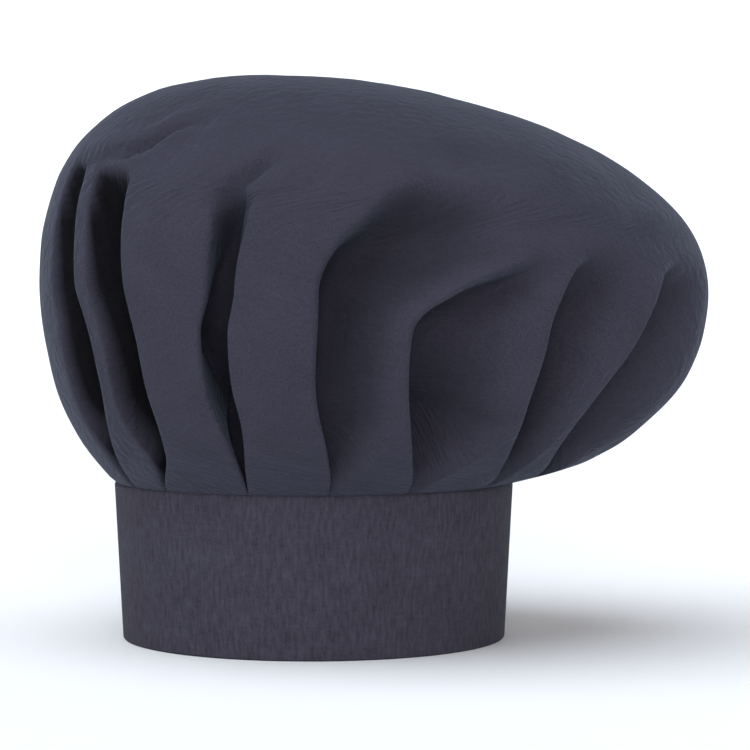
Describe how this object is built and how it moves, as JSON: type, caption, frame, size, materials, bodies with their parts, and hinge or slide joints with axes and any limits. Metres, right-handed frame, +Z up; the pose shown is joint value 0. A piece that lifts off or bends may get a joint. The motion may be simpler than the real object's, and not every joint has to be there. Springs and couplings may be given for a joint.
{
  "type": "chef toque",
  "caption": "Dark cloth chef's toque: a puffed crown knife pleated into a stiffened band that closes at the back with a hook-and-loop tab.",
  "frame": {"origin": "centre of the head opening, level with the band's lower edge", "axes": "+Z up; +X towards the side the crown droops to; the wearer faces -Y, so the closure is at +Y"},
  "size_m": [0.318, 0.2935, 0.2682],
  "materials": {
    "crown_cloth": "dark navy charcoal plain weave, soft sheen",
    "band_cloth": "dark navy charcoal plain weave with slubs, interlined",
    "interlining": "undyed woven stiffener",
    "binding_tape": "folded cotton tape",
    "thread": "spun polyester sewing thread",
    "loop_pile": "brushed loop pile",
    "hook_plastic": "moulded nylon hooks on a woven tape",
    "label_satin": "white woven satin, blank"
  },
  "bodies": {
    "toque": {"crown": "crown_cloth", "band_outer": "band_cloth", "band_interlining": "interlining", "band_facing": "band_cloth", "seam_binding": "binding_tape", "seam_binding_stitching": "thread", "loop_tape": "loop_pile", "loop_tape_stitching": "thread", "vent_binding": "binding_tape", "vent_binding_stitching": "thread", "vent_bar_tack": "thread", "care_label_stitching": "thread"},
    "closure_tab": {"tab_outer": "band_cloth", "tab_interlining": "interlining", "tab_facing": "band_cloth", "tab_edge_stitching": "thread", "hook_tape": "hook_plastic", "hook_tape_stitching": "thread"},
    "care_label": {"care_label": "label_satin"}
  },
  "joints": [
    {"name": "closure_peel", "type": "hinge", "parent": "toque", "child": "closure_tab", "pos_m": [0, 0.09594, 0], "axis": [0, -0.0532, -0.9986], "range_deg": [0, 100]},
    {"name": "label_flip", "type": "hinge", "parent": "toque", "child": "care_label", "pos_m": [0.07814, 0.04741, 0.0607], "axis": [-0.4827, 0.8758, 0], "range_deg": [0, 100]}
  ]
}
